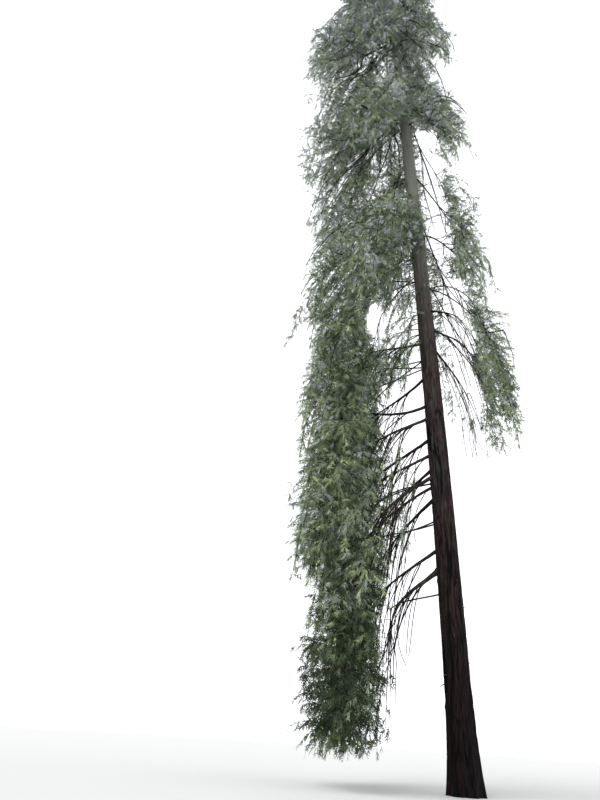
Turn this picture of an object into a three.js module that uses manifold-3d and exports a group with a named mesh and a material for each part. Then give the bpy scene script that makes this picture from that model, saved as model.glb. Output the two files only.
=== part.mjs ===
// Redwood tree: a tall, forest-grown trunk with drooping boughs and hanging masses of foliage.
// Millimetres, +Z up. The origin is the middle of the flat cut at ground level.
// The fuller, weeping side of the crown is -X, the open side is +X, and the front is -Y.
// Azimuths are in degrees from +X towards +Y, so 180 is the weeping side and 270 the front.
import * as THREE from "three";
import { mergeVertices } from "three/addons/utils/BufferGeometryUtils.js";
import Module from "manifold-3d";

const wasm = await Module();
wasm.setup();

// Trunk: height, girth above the flare, taper, root flare and lean.
const TREE_HEIGHT = 40000;
const TRUNK_RADIUS = 335;
const TRUNK_TAPER = 0.42;
const TRUNK_TIP_RADIUS = 14;
const FLARE = 92;
const FLARE_HEIGHT = 900;
const FLARE_LOBES = 6;
const LOBE_DEPTH = 42;
const TRUNK_LEAN = 1100;
const LEAN_POWER = 1.7;
const TRUNK_SIDES = 12;
const TRUNK_RINGS = 14;
const RING_CROWDING = 1.5;

// Boughs: how thick their ends are beside their roots, how they arch, and how steeply they leave the trunk.
const BOUGH_END_SHARE = 0.55;
const BOUGH_SIDES = 6;
const BOUGH_STEPS = 4;
const BOUGH_ARCH = 0.36;
const BOUGH_SLOPE = 0.55;
const ENTRY_RANGE = [0.15, 0.85];

// Foliage: how round each mass is, how much fuller its outer half is, and how uneven it is.
const MASS_SIDES = 9;
const MASS_RINGS = 7;
const OUTER_FULLNESS = 0.2;
const UNEVENNESS = 0.13;
const BROAD_WAVES = 3;
const FINE_WAVES = 5;
const FINE_SHARE = 0.6;

// The crown reaches furthest on its weeping side and least on its open side, where masses are smaller.
const WEEPING_AZIMUTH = 168;
const SIDE_REACH = 0.77;
const WEEPING_EXTRA = 0.23;
const SMALLER_BY_SIDE = 0.6;

// A spine bends at this share of its reach, and has come down by this share of its drop there: a seated
// mass runs well out from the trunk before it hangs, and a hung one is nearly straight.
const SEAT_REACH = 130;
const BEND_REACH = 0.62;
const SEATED_BEND_DROP = 0.16;
const HUNG_BEND_DROP = 0.5;

// Clearance between a piece and the one that it is seated on.
const SEAT_GAP = 0.42;

// Crown tiers from the ground up. tip is the reach and height of each mass's lowest, outermost end on the
// weeping side, drop its height from top to tip, thick and wide its half sizes across. A hung mass starts
// at the reach in top and hangs on boughs: roots are their heights on the trunk, girth is their radius
// there, and boughDrop is how far they come down. The other masses start at the trunk itself.
const HUNG = [
  { name: "skirt", tip: [1850, 1150], top: 1680, drop: 2950, thick: 330, wide: 380,
    azimuths: [184], roots: [5310], girth: 70, boughDrop: 1500 },
  { name: "low_curtain", tip: [3330, 700], top: 2560, drop: 5500, thick: 820, wide: 790,
    azimuths: [152, 172, 192, 212], roots: [7450, 5880, 7760, 8050], girth: 45, boughDrop: 2700 },
  { name: "mid_curtain", tip: [3780, 5000], top: 2620, drop: 6200, thick: 880, wide: 860,
    azimuths: [149, 169, 188, 208], roots: [8380, 9330, 8780, 10010], girth: 42, boughDrop: 2700 },
  { name: "high_curtain", tip: [3950, 9600], top: 2060, drop: 5000, thick: 930, wide: 1000,
    azimuths: [147, 178, 210], roots: [11640, 10460, 12900], girth: 46, boughDrop: 1700 },
  { name: "open_side", tip: [4250, 9900], top: 2500, drop: 4400, thick: 860, wide: 930,
    azimuths: [325, 10, 55], roots: [14300, 13600, 13000], girth: 42, boughDrop: 1900 },
];
const SEATED = [
  { name: "tier_one", tip: [4250, 13200], drop: 5600, thick: 1000, wide: 1120,
    azimuths: [162, 203, 240, 315, 60] },
  { name: "tier_two", tip: [3750, 16700], drop: 5000, thick: 950, wide: 1100,
    azimuths: [182, 110, 10] },
  { name: "tier_three", tip: [4550, 20100], drop: 5600, thick: 1050, wide: 1150,
    azimuths: [158, 204, 246, 315, 65] },
  { name: "tier_four", tip: [3050, 23600], drop: 4800, thick: 950, wide: 1100,
    azimuths: [182, 108, 8] },
  { name: "tier_five", tip: [4400, 26800], drop: 5400, thick: 1100, wide: 1200,
    azimuths: [155, 205, 255, 320, 60] },
  { name: "tier_six", tip: [3850, 30500], drop: 4900, thick: 1050, wide: 1200,
    azimuths: [180, 240, 320, 75] },
  { name: "tier_seven", tip: [3000, 34000], drop: 3500, thick: 900, wide: 1000,
    azimuths: [150, 265, 30] },
];
const CROWN_TIP = { name: "crown_tip", height: 38260, half: 1540, thick: 780 };

const BARK = new THREE.MeshStandardMaterial({ color: 0x3f3533, roughness: 0.95, metalness: 0 });
const BOUGH_BARK = new THREE.MeshStandardMaterial({ color: 0x302927, roughness: 0.92, metalness: 0 });
const FOLIAGE = new THREE.MeshStandardMaterial({ color: 0x5f6a55, roughness: 0.8, metalness: 0 });

const radians = (degrees) => THREE.MathUtils.degToRad(degrees);
const outward = (azimuth) => new THREE.Vector3(Math.cos(radians(azimuth)), Math.sin(radians(azimuth)), 0);

function trunkCentre(height) {
  const lean = TRUNK_LEAN * Math.pow(height / TREE_HEIGHT, LEAN_POWER);
  return new THREE.Vector3(-lean, 0, height);
}

function trunkRadius(height, angle) {
  const stem = TRUNK_RADIUS * Math.pow(Math.max(0, 1 - height / TREE_HEIGHT), TRUNK_TAPER);
  const spread = Math.exp(-height / FLARE_HEIGHT);
  const lobes = LOBE_DEPTH * Math.cos(FLARE_LOBES * angle) + (LOBE_DEPTH / 2) * Math.sin(2 * angle);
  return Math.max(TRUNK_TIP_RADIUS, stem + spread * (FLARE + lobes));
}

// Welds a stock shape's seams while it still has unit size, then moves each vertex with place.
function reshaped(stock, place) {
  stock.deleteAttribute("normal");
  stock.deleteAttribute("uv");
  const shape = mergeVertices(stock);
  const spots = shape.attributes.position;
  for (let i = 0; i < spots.count; i += 1) {
    const spot = place(new THREE.Vector3().fromBufferAttribute(spots, i));
    spots.setXYZ(i, spot.x, spot.y, spot.z);
  }
  return shape;
}

function trunkShape() {
  const stock = new THREE.CylinderGeometry(1, 1, 1, TRUNK_SIDES, TRUNK_RINGS);
  return reshaped(stock, (unit) => {
    const height = TREE_HEIGHT * Math.pow(unit.y + 0.5, RING_CROWDING);
    const angle = Math.atan2(-unit.z, unit.x);
    const radius = trunkRadius(height, angle) * Math.hypot(unit.x, unit.z);
    const rim = new THREE.Vector3(Math.cos(angle) * radius, Math.sin(angle) * radius, 0);
    return trunkCentre(height).add(rim);
  });
}

// One mass: its spine runs from its top, or its seat at the trunk, out and down to its tip.
function massAt(tier, azimuth, index) {
  const out = outward(azimuth);
  const side = SIDE_REACH + WEEPING_EXTRA * Math.cos(radians(azimuth - WEEPING_AZIMUTH));
  const size = 1 - SMALLER_BY_SIDE * (1 - side);
  const onRay = (reach, height) => trunkCentre(height).addScaledVector(out, reach);
  const [reach, height] = [tier.tip[0] * side, tier.tip[1]];
  const inner = tier.top ? tier.top * side : SEAT_REACH;
  const bend = inner + (reach - inner) * BEND_REACH;
  const fallen = tier.top ? HUNG_BEND_DROP : SEATED_BEND_DROP;
  return {
    name: `foliage_${tier.name}_${index + 1}`,
    spine: new THREE.QuadraticBezierCurve3(
      onRay(inner, height + tier.drop),
      onRay(bend, height + tier.drop * (1 - fallen)),
      onRay(reach, height),
    ),
    across: new THREE.Vector3(0, 0, 1).cross(out),
    thick: tier.thick * size,
    wide: tier.wide * size,
    phase: azimuth + height / 1000,
  };
}

function crownTipMass() {
  const end = (side) => trunkCentre(CROWN_TIP.height).add(new THREE.Vector3(0, 0, side * CROWN_TIP.half));
  return {
    name: `foliage_${CROWN_TIP.name}`,
    spine: new THREE.QuadraticBezierCurve3(end(1), end(0), end(-1)),
    across: new THREE.Vector3(0, 1, 0),
    thick: CROWN_TIP.thick,
    wide: CROWN_TIP.thick,
    phase: 0,
  };
}

// A plume along its spine: narrow at the top, fuller in its outer half, and uneven all over.
function massShape(mass) {
  const stock = new THREE.SphereGeometry(1, MASS_SIDES, MASS_RINGS);
  return reshaped(stock, (unit) => {
    const along = THREE.MathUtils.clamp((1 - unit.y) / 2, 0, 1);
    const turn = Math.atan2(unit.z, unit.x);
    const broad = Math.sin(BROAD_WAVES * (turn + unit.y) + mass.phase);
    const fine = FINE_SHARE * Math.sin(FINE_WAVES * (turn - unit.y) - mass.phase);
    const size = (1 - OUTER_FULLNESS * unit.y) * (1 + UNEVENNESS * (broad + fine));
    const depth = mass.spine.getTangent(along).cross(mass.across);
    return mass.spine.getPoint(along)
      .addScaledVector(mass.across, unit.x * size * mass.wide)
      .addScaledVector(depth, unit.z * size * mass.thick);
  });
}

// A bough slopes down from the trunk, arches over and runs down into its mass.
function boughShape(mass, root, girth, drop) {
  const start = trunkCentre(root);
  const { v0: top, v2: tip } = mass.spine;
  const along = THREE.MathUtils.clamp((top.z - root + drop) / (top.z - tip.z), ...ENTRY_RANGE);
  const end = mass.spine.getPoint(along);
  const run = end.clone().sub(start).setZ(0);
  const path = new THREE.CubicBezierCurve3(
    start,
    start.clone().addScaledVector(run, BOUGH_ARCH).setZ(root - run.length() * BOUGH_ARCH * BOUGH_SLOPE),
    end.clone().addScaledVector(mass.spine.getTangent(along), -drop * BOUGH_ARCH),
    end,
  );
  const frames = path.computeFrenetFrames(BOUGH_STEPS);
  const stock = new THREE.CylinderGeometry(1, 1, 1, BOUGH_SIDES, BOUGH_STEPS);
  return reshaped(stock, (unit) => {
    const step = Math.round((unit.y + 0.5) * BOUGH_STEPS);
    const radius = girth * (1 - (1 - BOUGH_END_SHARE) * (step / BOUGH_STEPS));
    return path.getPointAt(step / BOUGH_STEPS)
      .addScaledVector(frames.normals[step], unit.z * radius)
      .addScaledVector(frames.binormals[step], unit.x * radius);
  });
}

function solidOf(shape) {
  return new wasm.Manifold(new wasm.Mesh({
    numProp: 3,
    vertProperties: Float32Array.from(shape.attributes.position.array),
    triVerts: Uint32Array.from(shape.index.array),
  }));
}

// The same shape grown by the seat gap, to cut a neighbour with.
function grown(shape) {
  const larger = shape.clone();
  larger.computeVertexNormals();
  const { position, normal } = larger.attributes;
  for (let i = 0; i < position.count; i += 1) {
    const spot = new THREE.Vector3().fromBufferAttribute(position, i);
    spot.addScaledVector(new THREE.Vector3().fromBufferAttribute(normal, i), SEAT_GAP);
    position.setXYZ(i, spot.x, spot.y, spot.z);
  }
  return solidOf(larger);
}

function meshOf(name, solid, material) {
  const { vertProperties, triVerts } = solid.getMesh();
  const geometry = new THREE.BufferGeometry();
  geometry.setAttribute("position", new THREE.BufferAttribute(vertProperties, 3));
  geometry.setIndex(new THREE.BufferAttribute(triVerts, 1));
  geometry.computeVertexNormals();
  const mesh = new THREE.Mesh(geometry, material);
  mesh.name = name;
  return mesh;
}

// A cut can leave chips: the piece kept is the one with the best score.
function bestPiece(solid, score) {
  return solid.decompose().sort((a, b) => score(b) - score(a))[0];
}

const tree = new THREE.Group();
const trunk = trunkShape();
const trunkCutter = grown(trunk);
tree.add(meshOf("trunk", solidOf(trunk), BARK));

// Each mass is cut round the trunk and round the masses that were placed before it.
const massCutters = [];
function addMass(mass) {
  const shape = massShape(mass);
  let solid = solidOf(shape).subtract(trunkCutter);
  for (const cutter of massCutters) {
    solid = solid.subtract(cutter);
  }
  massCutters.push(grown(shape));
  tree.add(meshOf(mass.name, bestPiece(solid, (piece) => piece.volume()), FOLIAGE));
}

const boughs = [];
for (const tier of [...HUNG, ...SEATED]) {
  tier.azimuths.forEach((azimuth, index) => {
    const mass = massAt(tier, azimuth, index);
    addMass(mass);
    if (tier.roots) {
      const root = tier.roots[index];
      boughs.push({ root, shape: boughShape(mass, root, tier.girth, tier.boughDrop) });
    }
  });
}
addMass(crownTipMass());

// A bough is cut off at the trunk and at the foliage it enters. The piece at the trunk is kept.
boughs.sort((a, b) => a.root - b.root);
boughs.forEach(({ root, shape }, index) => {
  let solid = solidOf(shape).subtract(trunkCutter);
  for (const cutter of massCutters) {
    solid = solid.subtract(cutter);
  }
  const nearTrunk = (piece) => {
    const { min, max } = piece.boundingBox();
    return -Math.hypot((min[0] + max[0]) / 2, (min[1] + max[1]) / 2, (min[2] + max[2]) / 2 - root);
  };
  tree.add(meshOf(`bough_${index + 1}`, bestPiece(solid, nearTrunk), BOUGH_BARK));
});

export default tree;
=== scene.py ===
"""Looks of a tall forest redwood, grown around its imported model.

The trunk and the bare boughs are rebuilt with the relief of their bark. Each mass of
foliage becomes limbs, branchlets, sprays and needles that grow from the trunk or from
the end of the bough that carries the mass. Lengths are in metres, and +Z is up.
"""

import logging
import math
from collections.abc import Iterable
from dataclasses import dataclass, field
from enum import Enum

import bpy
import numpy as np
from mathutils import Matrix, Vector
from mathutils.bvhtree import BVHTree


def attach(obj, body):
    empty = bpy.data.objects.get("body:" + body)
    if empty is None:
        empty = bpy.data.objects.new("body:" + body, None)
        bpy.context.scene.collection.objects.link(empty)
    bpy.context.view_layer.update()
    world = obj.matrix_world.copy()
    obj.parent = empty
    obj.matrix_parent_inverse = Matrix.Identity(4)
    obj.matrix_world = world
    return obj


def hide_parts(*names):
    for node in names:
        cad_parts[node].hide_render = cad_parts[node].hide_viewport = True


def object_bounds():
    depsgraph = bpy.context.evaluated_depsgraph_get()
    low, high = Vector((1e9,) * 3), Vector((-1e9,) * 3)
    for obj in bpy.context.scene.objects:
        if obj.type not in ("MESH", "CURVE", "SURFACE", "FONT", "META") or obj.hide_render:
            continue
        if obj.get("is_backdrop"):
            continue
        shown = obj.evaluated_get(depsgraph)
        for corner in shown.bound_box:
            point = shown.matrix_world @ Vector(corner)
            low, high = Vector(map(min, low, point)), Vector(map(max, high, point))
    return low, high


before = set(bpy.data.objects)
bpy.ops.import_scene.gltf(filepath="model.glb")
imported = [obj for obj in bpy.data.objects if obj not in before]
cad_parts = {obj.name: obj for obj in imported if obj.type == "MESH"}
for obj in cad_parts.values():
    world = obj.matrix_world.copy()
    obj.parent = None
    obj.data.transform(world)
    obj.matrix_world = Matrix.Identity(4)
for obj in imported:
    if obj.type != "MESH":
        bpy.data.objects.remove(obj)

LOG = logging.getLogger("redwood")
BODY = "root"

Array = np.ndarray
Range = tuple[float, float]
Pixel = tuple[float, float]
Triple = tuple[float, float, float]
Colour = Triple
DOWN = np.array([0.0, 0.0, -1.0])
LEVEL = np.array([1.0, 1.0, 0.0])
FULL_TURN = 2.0 * math.pi
# The least length or share that anything is divided by.
SMALL = 1e-9
# A small step aside, which gives an upright course a side as well.
NUDGE = 1e-3

# The most triangles that one piece holds.
MOST_TRIANGLES = 190_000
# The turn round a stem, in radians, from one limb to the next.
GOLDEN_TURN = 2.4
# How many points a limb is read at while branchlets are set on it.
LINE_POINTS = 60
# How many times a path that was bent is smoothed.
SMOOTHINGS = 3
# How far outside a solid the places may be that wood grows towards.
SOFT_EDGE = 0.32
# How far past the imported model's box twigs may reach.
BOX_MARGIN = 0.10
# Where the photograph was taken: its distance from the trunk, and its height over the ground.
VIEW_DISTANCE = 16.647
EYE_HEIGHT = 1.0
# The masses that leafy strings hang from.
FRINGED = ("foliage_mid_curtain", "foliage_high_curtain", "foliage_open_side", "foliage_tier_one")


def unit(vectors: Array) -> Array:
    """Vectors brought to a length of one, along the last axis."""
    return vectors / np.maximum(np.linalg.norm(vectors, axis=-1, keepdims=True), SMALL)


def eased(share: Array) -> Array:
    """A share from 0 to 1 with a soft start and end."""
    held = np.clip(share, 0.0, 1.0)
    return held * held * (3.0 - 2.0 * held)


def blended(first: Array, second: Array, share: Array) -> Array:
    """A point of the way from first to second, as far along as share says."""
    return first + (second - first) * share


def bearing(angle: float, rise: float = 0.0) -> Array:
    """A heading at an angle round the trunk, with a rise for each metre out."""
    return np.array([math.cos(angle), math.sin(angle), rise])


def sideways(course: Array) -> Array:
    """Level headings across some courses, also where a course is upright."""
    return unit(np.cross(course, DOWN) + NUDGE)


def tapered(girth: float) -> Array:
    """A limb's radii from its root, of about this girth, to its thin tip."""
    return girth * np.linspace(1.0, 0.0, 8) ** 0.8 + 0.004


def read_along(wanted: Array, along: Array, rows: Array) -> Array:
    """Rows of three numbers, given at rising places, read at other places between them."""
    return np.stack([np.interp(wanted, along, rows[:, axis]) for axis in range(3)], axis=1)


def read_curve(fit: Array, share: Array) -> Array:
    """Points of a fitted curve, from its coefficients and shares of the way along it."""
    return np.stack([np.polyval(fit[:, axis], share) for axis in range(3)], axis=1)


def resampled(path: Array, count: int) -> Array:
    """Spaces a path's points evenly along it.

    Args:
        path: Points of the path, one row each.
        count: How many points to return.

    Returns:
        The new points, one row each.
    """
    steps = np.linalg.norm(np.diff(path, axis=0), axis=1)
    along = np.concatenate([[0.0], np.cumsum(steps)])
    return read_along(np.linspace(0.0, along[-1], count), along, path)


def path_length(path: Array) -> float:
    """The length of a path of points."""
    return float(np.linalg.norm(np.diff(path, axis=0), axis=1).sum())


def cubic(controls: Array, count: int) -> Array:
    """Points of a cubic curve.

    Args:
        controls: Its four control points, one row each.
        count: How many points to return.

    Returns:
        The points, one row each.
    """
    share = np.linspace(0.0, 1.0, count)[:, None]
    rest = 1.0 - share
    weights = [rest**3, 3 * rest**2 * share, 3 * rest * share**2, share**3]
    return sum(weight * point for weight, point in zip(weights, controls, strict=True))


def joined_mesh(name: str, points: Array, faces: Array, material: bpy.types.Material,
                smooth: bool) -> bpy.types.Object:
    """Makes one mesh object from arrays.

    Args:
        name: The object's name.
        points: Vertices, one row each.
        faces: Vertex numbers of each face, all with the same number of corners.
        material: What the whole mesh is finished with.
        smooth: Whether its faces are shaded as one surface.

    Returns:
        The new object, linked to the scene.
    """
    mesh = bpy.data.meshes.new(name)
    mesh.vertices.add(len(points))
    mesh.vertices.foreach_set("co", points.astype(np.float32).ravel())
    mesh.loops.add(faces.size)
    mesh.loops.foreach_set("vertex_index", faces.astype(np.int32).ravel())
    mesh.polygons.add(len(faces))
    starts = np.arange(0, faces.size, faces.shape[1], dtype=np.int32)
    mesh.polygons.foreach_set("loop_start", starts)
    mesh.update(calc_edges=True)
    mesh.polygons.foreach_set("use_smooth", np.full(len(faces), smooth))
    mesh.materials.append(material)
    made = bpy.data.objects.new(name, mesh)
    bpy.context.scene.collection.objects.link(made)
    return made


def add_attribute(piece: bpy.types.Object, name: str, values: Array) -> None:
    """Stores one number for each vertex, which a material can read by name."""
    attribute = piece.data.attributes.new(name, "FLOAT", "POINT")
    attribute.data.foreach_set("value", values.astype(np.float32).ravel())


def portions(rows: Array, triangles: int) -> list[Array]:
    """Splits rows of so many triangles each into as few even parts as the pieces' limit allows."""
    return np.array_split(rows, max(1, math.ceil(len(rows) * triangles / MOST_TRIANGLES)))


def report(piece: bpy.types.Object, nodes: Iterable[str]) -> None:
    """Fixes a piece to the tree's body and logs it.

    Args:
        piece: The finished mesh.
        nodes: The nodes it stands for.
    """
    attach(piece, BODY)
    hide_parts(*nodes)
    triangles = sum(len(face.vertices) - 2 for face in piece.data.polygons)
    LOG.info("%s: %d triangles", piece.name, triangles)


class Shade:
    """A socket that takes part in Python sums, each of which adds a Math node."""

    def __init__(self, graph: "Graph", socket: bpy.types.NodeSocket) -> None:
        """Keeps a socket and the graph that it belongs to."""
        self.graph = graph
        self.socket = socket

    def _sum(self, operation: str, first: "Shade | float", second: "Shade | float") -> "Shade":
        """One Math node over two values or sockets."""
        return self.graph.node("ShaderNodeMath", {"operation": operation}, {0: first, 1: second})

    def __add__(self, other: "Shade | float") -> "Shade":
        """This value plus another."""
        return self._sum("ADD", self, other)

    __radd__ = __add__

    def __mul__(self, other: "Shade | float") -> "Shade":
        """This value times another."""
        return self._sum("MULTIPLY", self, other)

    __rmul__ = __mul__

    def __sub__(self, other: "Shade | float") -> "Shade":
        """This value less another."""
        return self._sum("SUBTRACT", self, other)

    def __rsub__(self, other: "Shade | float") -> "Shade":
        """Another value less this one."""
        return self._sum("SUBTRACT", other, self)

    def mask(self, low: float, high: float) -> "Shade":
        """A soft step from 0 where this value is low to 1 where it is high."""
        sockets = {"Value": self, "From Min": low, "From Max": high}
        return self.graph.node("ShaderNodeMapRange", {"interpolation_type": "SMOOTHSTEP"}, sockets)


class Graph:
    """The node tree of one material or world."""

    def __init__(self, tree: bpy.types.NodeTree) -> None:
        """Takes over a node tree and empties it."""
        self.tree = tree
        tree.nodes.clear()

    def node(self, kind: str, settings: dict | None = None, sockets: dict | None = None,
             output: int | str = 0) -> Shade | None:
        """Adds one node.

        Args:
            kind: The node's type.
            settings: Its settings by name, set before its sockets.
            sockets: Values or links of its input sockets, by name or number.
            output: Which output socket to hand back, by name or number.

        Returns:
            That output, or None for a node that has none.
        """
        made = self.tree.nodes.new(kind)
        for name, value in (settings or {}).items():
            setattr(made, name, value)
        for name, value in (sockets or {}).items():
            if isinstance(value, Shade):
                self.tree.links.new(value.socket, made.inputs[name])
            else:
                made.inputs[name].default_value = value
        return Shade(self, made.outputs[output]) if made.outputs else None

    def mixed(self, share: Shade | float, first: Shade | Colour, second: Shade | Colour) -> Shade:
        """A colour between two others."""
        pair = [value if isinstance(value, Shade) else (*value, 1.0) for value in (first, second)]
        return self.node("ShaderNodeMix", {"data_type": "RGBA"}, {0: share, 6: pair[0], 7: pair[1]}, 2)

    def noise(self, place: Shade, scale: float, detail: float = 3.0) -> Shade:
        """A noise pattern's value at a place."""
        return self.node("ShaderNodeTexNoise", None, {"Vector": place, "Scale": scale, "Detail": detail})

    def spot(self) -> Shade:
        """Where a point is on the tree."""
        return self.node("ShaderNodeTexCoord", output="Object")

    def place(self, stretch: Triple) -> Shade:
        """Where a point is on the tree, stretched along each axis."""
        return self.node("ShaderNodeVectorMath", {"operation": "MULTIPLY"}, {0: self.spot(), 1: stretch})

    def height(self) -> Shade:
        """How high a point is above the ground."""
        return self.node("ShaderNodeSeparateXYZ", None, {0: self.spot()}, "Z")

    def attribute(self, name: str) -> Shade:
        """A number that the mesh stores under a name."""
        return self.node("ShaderNodeAttribute", {"attribute_name": name}, output="Fac")

    def surface(self, sockets: dict) -> None:
        """Ends a material with a surface that has these values or links."""
        surface = self.node("ShaderNodeBsdfPrincipled", None, sockets)
        self.node("ShaderNodeOutputMaterial", None, {"Surface": surface})


def new_material(name: str) -> tuple[bpy.types.Material, Graph]:
    """Makes a material with no nodes.

    Args:
        name: What it is called.

    Returns:
        The material and the graph of its nodes.
    """
    material = bpy.data.materials.new(name)
    material.use_nodes = True
    return material, Graph(material.node_tree)


@dataclass(frozen=True)
class BarkFinish:
    """Dull, fibrous bark with darker cracks, which with relief also gets painted shade and a pale top.

    grain is the scale of its fibres and bump the height of its bumps. Each stretch draws a pattern
    out along the stem, and each range is where a soft step starts and ends. Bark with relief also
    pales towards the lichen colour between the heights of paling, partly lichen and partly painted
    haze, and near the ground painted shade takes the share gloom of its colour, which comes back
    between the heights of shade.
    """

    name: str
    ridge: Colour
    weathered: Colour
    furrow: Colour
    lichen: Colour
    lichen_share: float
    grain: float
    bump: float
    relief: bool = False
    # Painted shade near the ground: the share of the colour taken away, and the heights over which it comes
    # back.
    painted_foot_shade: float = 0.0
    shade: Range = (0.0, 12.0)
    # A paler top, towards the lichen colour, which is partly lichen and partly painted haze.
    paling: Range = (9.0, 25.0)
    paleness: float = 0.85
    fibre_stretch: Triple = (1.0, 1.0, 0.09)
    fibre_detail: float = 5.0
    patch_stretch: Triple = (1.0, 1.0, 0.28)
    patch_scale: float = 2.3
    streak_stretch: Triple = (1.0, 1.0, 0.12)
    streak_scale: float = 9.0
    weathering: Range = (0.36, 0.66)
    cracking: Range = (0.62, 0.36)
    crack_share: float = 0.75
    damp_patches: Range = (0.42, 0.62)
    damp_streaks: Range = (0.46, 0.62)
    # Painted shade in the mesh's furrows: where it starts and is full, and how much colour it takes.
    furrow_shade_edge: Range = (0.1, 0.7)
    furrow_share: float = 0.92
    knot_share: float = 0.95
    bump_strength: float = 0.8
    roughness: float = 0.95
    fibre_sheen: float = 0.10
    gloss: float = 0.10

    def material(self) -> bpy.types.Material:
        """Builds the bark's nodes.

        Returns:
            The finished material.
        """
        material, graph = new_material(self.name)
        fibre = graph.noise(graph.place(self.fibre_stretch), self.grain, self.fibre_detail)
        patch = graph.noise(graph.place(self.patch_stretch), self.patch_scale)
        streak = graph.noise(graph.place(self.streak_stretch), self.streak_scale)
        colour = graph.mixed(patch.mask(*self.weathering), self.ridge, self.weathered)
        colour = graph.mixed(fibre.mask(*self.cracking) * self.crack_share, colour, self.furrow)
        damp = patch.mask(*self.damp_patches) * streak.mask(*self.damp_streaks) * self.lichen_share
        colour = graph.mixed(damp, colour, self.lichen)
        if self.relief:
            colour = self._aged_and_shaded(graph, colour)
        height = fibre + streak * 0.5
        bumped = {"Height": height, "Strength": self.bump_strength, "Distance": self.bump}
        graph.surface({
            "Base Color": colour,
            "Roughness": self.roughness - fibre * self.fibre_sheen,
            "Specular IOR Level": self.gloss,
            "Normal": graph.node("ShaderNodeBump", None, bumped),
        })
        return material

    def _aged_and_shaded(self, graph: Graph, colour: Shade) -> Shade:
        """Adds what the mesh's relief and the height do to the bark's colour, with painted shade.

        Args:
            graph: The material's nodes.
            colour: The colour without them.

        Returns:
            The colour with dark knots, a pale top, and painted shade in the furrows and at the foot.
        """
        # Painted shade: the mesh's furrows are darkened almost to black, as shade falls in them.
        furrow = graph.attribute("furrow").mask(*self.furrow_shade_edge) * self.furrow_share
        colour = graph.mixed(furrow, colour, self.furrow)
        colour = graph.mixed(graph.attribute("knot") * self.knot_share, colour, self.furrow)
        # Paler towards the top: partly lichen and partly painted haze.
        colour = graph.mixed(graph.height().mask(*self.paling) * self.paleness, colour, self.lichen)
        # Painted shade: near the ground the colour is dimmed by the share gloom, which fades out between the
        # heights of shade.
        light = 1.0 - (1.0 - graph.height().mask(*self.shade)) * self.painted_foot_shade
        return graph.node("ShaderNodeVectorMath", {"operation": "SCALE"}, {0: colour, "Scale": light})


@dataclass(frozen=True)
class TintShare:
    """How many of the sprays in a place take a tint, beside the other tints.

    plain is for the foot of a branchlet at the foot of the tree. outer is what the branchlet's tip
    adds, partly fresh growth and partly painted shade on the inner sprays. high is what the tree's
    top adds, and steep the same with the square of the height, which is painted haze. In the painted
    shade at the foot of the curtain low is added, and the share lost is taken off the rest.
    """

    plain: float = 0.0
    # Lighter tips: partly fresh growth and partly painted shade on the inner sprays.
    outer: float = 0.0
    # Paler, greyer tints towards the top, here and in steep, are painted haze.
    high: float = 0.0
    steep: float = 0.0
    # Painted shade at the curtain's foot: what it adds, and what it takes off the rest.
    low: float = 0.0
    lost: float = 0.0

    def at(self, place: Array, high: Array, low: Array) -> Array:
        """Works the share out for some sprays.

        Args:
            place: How far out along its branchlet each one is, from 0 to 1.
            high: How high up the tree it is, from 0 to 1.
            low: How deep it is in the painted shade at the foot of the curtain, from 0 to 1.

        Returns:
            A share for each spray.
        """
        lit = self.plain + self.outer * place + self.high * high + self.steep * high**2
        return lit * (1.0 - self.lost * low) + self.low * low


@dataclass(frozen=True)
class NeedleFinish:
    """Needles of one tint, a little uneven from place to place.

    share says how many sprays take the tint. darkest and lightest are what its colour is multiplied
    by where a cloud pattern is low and where it is high.
    """

    name: str
    colour: Colour
    share: TintShare
    darkest: float = 0.78
    lightest: float = 1.2
    cloud_scale: float = 1.7
    clouding: Range = (0.35, 0.65)
    roughness: float = 0.62
    gloss: float = 0.16

    def material(self) -> bpy.types.Material:
        """Builds the needles' nodes.

        Returns:
            The finished material.
        """
        material, graph = new_material(self.name)
        cloud = graph.noise(graph.place((1.0, 1.0, 1.0)), self.cloud_scale)
        dark, light = (tuple(by * part for part in self.colour) for by in (self.darkest, self.lightest))
        graph.surface({
            "Base Color": graph.mixed(cloud.mask(*self.clouding), dark, light),
            "Roughness": self.roughness,
            "Specular IOR Level": self.gloss,
        })
        return material


class Tint(Enum):
    """The tints that needles are dealt out in, spray by spray, from dark to pale and then dry."""

    # SHADED, and what DEEP gains low down, are painted shade at the curtain's foot and on the inner sprays.
    SHADED = NeedleFinish("needles_shaded", (0.024, 0.038, 0.017),
                          TintShare(plain=0.04, outer=-0.03, low=2.00))
    DEEP = NeedleFinish("needles_deep", (0.070, 0.100, 0.046),
                        TintShare(plain=0.15, outer=-0.08, high=-0.10, low=0.85))
    MIDDLE = NeedleFinish("needles_middle", (0.176, 0.222, 0.128),
                          TintShare(plain=0.38, outer=0.04, high=-0.18, lost=0.58))
    FRESH = NeedleFinish("needles_fresh", (0.245, 0.308, 0.158),
                         TintShare(plain=0.28, outer=0.14, high=-0.20, lost=0.95))
    # PALE, and SOFT as it grows towards the top, are painted haze.
    SOFT = NeedleFinish("needles_soft", (0.272, 0.308, 0.262),
                        TintShare(plain=0.16, high=0.36, lost=1.0))
    PALE = NeedleFinish("needles_pale", (0.390, 0.412, 0.425), TintShare(steep=0.80))
    DRY = NeedleFinish("needles_dry", (0.160, 0.115, 0.075), TintShare(plain=0.020, outer=-0.010))


TINTS = list(Tint)
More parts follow.
